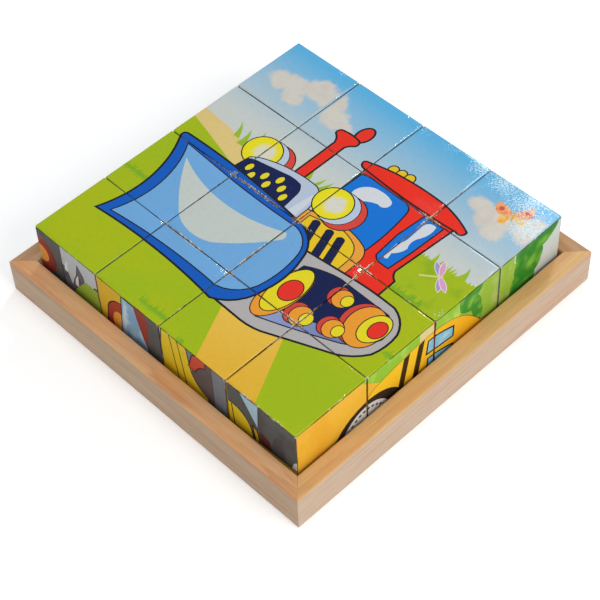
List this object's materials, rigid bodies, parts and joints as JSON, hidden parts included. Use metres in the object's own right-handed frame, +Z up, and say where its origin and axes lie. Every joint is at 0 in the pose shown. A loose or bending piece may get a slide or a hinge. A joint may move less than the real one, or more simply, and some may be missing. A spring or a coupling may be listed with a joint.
{
  "type": "picture block puzzle",
  "caption": "Loose wooden cubes with a picture on each face, standing side by side in a shallow mitred wooden tray so that their tops join into one large picture.",
  "frame": {"origin": "middle of the tray's underside, on the surface that the tray stands on", "axes": "+Z up; +X to the player's right along the front rail; +Y away from the player, towards the top edge of the large picture"},
  "size_m": [0.136, 0.136, 0.0315],
  "materials": {
    "tray_pine": "pale pine, planed and lightly varnished, with soft orange streaks",
    "tray_board": "thin brown fibreboard",
    "cube_wood": "light tan wood with rounded, lightly worn edges",
    "picture_sky_print": "printed paper under a glossy, finely embossed film, mostly sky blue",
    "picture_grass_print": "printed paper under a glossy, finely embossed film, mostly grass green",
    "picture_side_print": "printed paper under a glossy, finely embossed film, in mixed colours"
  },
  "bodies": {
    "tray": {"tray_rail_front": "tray_pine", "tray_rail_right": "tray_pine", "tray_rail_back": "tray_pine", "tray_rail_left": "tray_pine", "tray_base": "tray_board"},
    "cube_a1": {"cube_a1": "cube_wood", "top_picture_a1": "picture_grass_print", "front_picture_a1": "picture_side_print", "left_picture_a1": "picture_side_print"},
    "cube_b1": {"cube_b1": "cube_wood", "top_picture_b1": "picture_grass_print", "front_picture_b1": "picture_side_print"},
    "cube_c1": {"cube_c1": "cube_wood", "top_picture_c1": "picture_grass_print", "front_picture_c1": "picture_side_print"},
    "cube_d1": {"cube_d1": "cube_wood", "top_picture_d1": "picture_grass_print", "front_picture_d1": "picture_side_print", "right_picture_d1": "picture_side_print"},
    "cube_a2": {"cube_a2": "cube_wood", "top_picture_a2": "picture_grass_print", "left_picture_a2": "picture_side_print"},
    "cube_b2": {"cube_b2": "cube_wood", "top_picture_b2": "picture_grass_print"},
    "cube_c2": {"cube_c2": "cube_wood", "top_picture_c2": "picture_grass_print"},
    "cube_d2": {"cube_d2": "cube_wood", "top_picture_d2": "picture_grass_print", "right_picture_d2": "picture_side_print"},
    "cube_a3": {"cube_a3": "cube_wood", "top_picture_a3": "picture_grass_print", "left_picture_a3": "picture_side_print"},
    "cube_b3": {"cube_b3": "cube_wood", "top_picture_b3": "picture_grass_print"},
    "cube_c3": {"cube_c3": "cube_wood", "top_picture_c3": "picture_grass_print"},
    "cube_d3": {"cube_d3": "cube_wood", "top_picture_d3": "picture_grass_print", "right_picture_d3": "picture_side_print"},
    "cube_a4": {"cube_a4": "cube_wood", "top_picture_a4": "picture_sky_print", "back_picture_a4": "picture_side_print", "left_picture_a4": "picture_side_print"},
    "cube_b4": {"cube_b4": "cube_wood", "top_picture_b4": "picture_sky_print", "back_picture_b4": "picture_side_print"},
    "cube_c4": {"cube_c4": "cube_wood", "top_picture_c4": "picture_sky_print", "back_picture_c4": "picture_side_print"},
    "cube_d4": {"cube_d4": "cube_wood", "top_picture_d4": "picture_sky_print", "right_picture_d4": "picture_side_print", "back_picture_d4": "picture_side_print"}
  },
  "joints": [
    {"name": "cube_a1_lift", "type": "slide", "parent": "tray", "child": "cube_a1", "axis": [0, 0, 1], "range_m": [0, 0.04]},
    {"name": "cube_b1_lift", "type": "slide", "parent": "tray", "child": "cube_b1", "axis": [0, 0, 1], "range_m": [0, 0.04]},
    {"name": "cube_c1_lift", "type": "slide", "parent": "tray", "child": "cube_c1", "axis": [0, 0, 1], "range_m": [0, 0.04]},
    {"name": "cube_d1_lift", "type": "slide", "parent": "tray", "child": "cube_d1", "axis": [0, 0, 1], "range_m": [0, 0.04]},
    {"name": "cube_a2_lift", "type": "slide", "parent": "tray", "child": "cube_a2", "axis": [0, 0, 1], "range_m": [0, 0.04]},
    {"name": "cube_b2_lift", "type": "slide", "parent": "tray", "child": "cube_b2", "axis": [0, 0, 1], "range_m": [0, 0.04]},
    {"name": "cube_c2_lift", "type": "slide", "parent": "tray", "child": "cube_c2", "axis": [0, 0, 1], "range_m": [0, 0.04]},
    {"name": "cube_d2_lift", "type": "slide", "parent": "tray", "child": "cube_d2", "axis": [0, 0, 1], "range_m": [0, 0.04]},
    {"name": "cube_a3_lift", "type": "slide", "parent": "tray", "child": "cube_a3", "axis": [0, 0, 1], "range_m": [0, 0.04]},
    {"name": "cube_b3_lift", "type": "slide", "parent": "tray", "child": "cube_b3", "axis": [0, 0, 1], "range_m": [0, 0.04]},
    {"name": "cube_c3_lift", "type": "slide", "parent": "tray", "child": "cube_c3", "axis": [0, 0, 1], "range_m": [0, 0.04]},
    {"name": "cube_d3_lift", "type": "slide", "parent": "tray", "child": "cube_d3", "axis": [0, 0, 1], "range_m": [0, 0.04]},
    {"name": "cube_a4_lift", "type": "slide", "parent": "tray", "child": "cube_a4", "axis": [0, 0, 1], "range_m": [0, 0.04]},
    {"name": "cube_b4_lift", "type": "slide", "parent": "tray", "child": "cube_b4", "axis": [0, 0, 1], "range_m": [0, 0.04]},
    {"name": "cube_c4_lift", "type": "slide", "parent": "tray", "child": "cube_c4", "axis": [0, 0, 1], "range_m": [0, 0.04]},
    {"name": "cube_d4_lift", "type": "slide", "parent": "tray", "child": "cube_d4", "axis": [0, 0, 1], "range_m": [0, 0.04]}
  ]
}
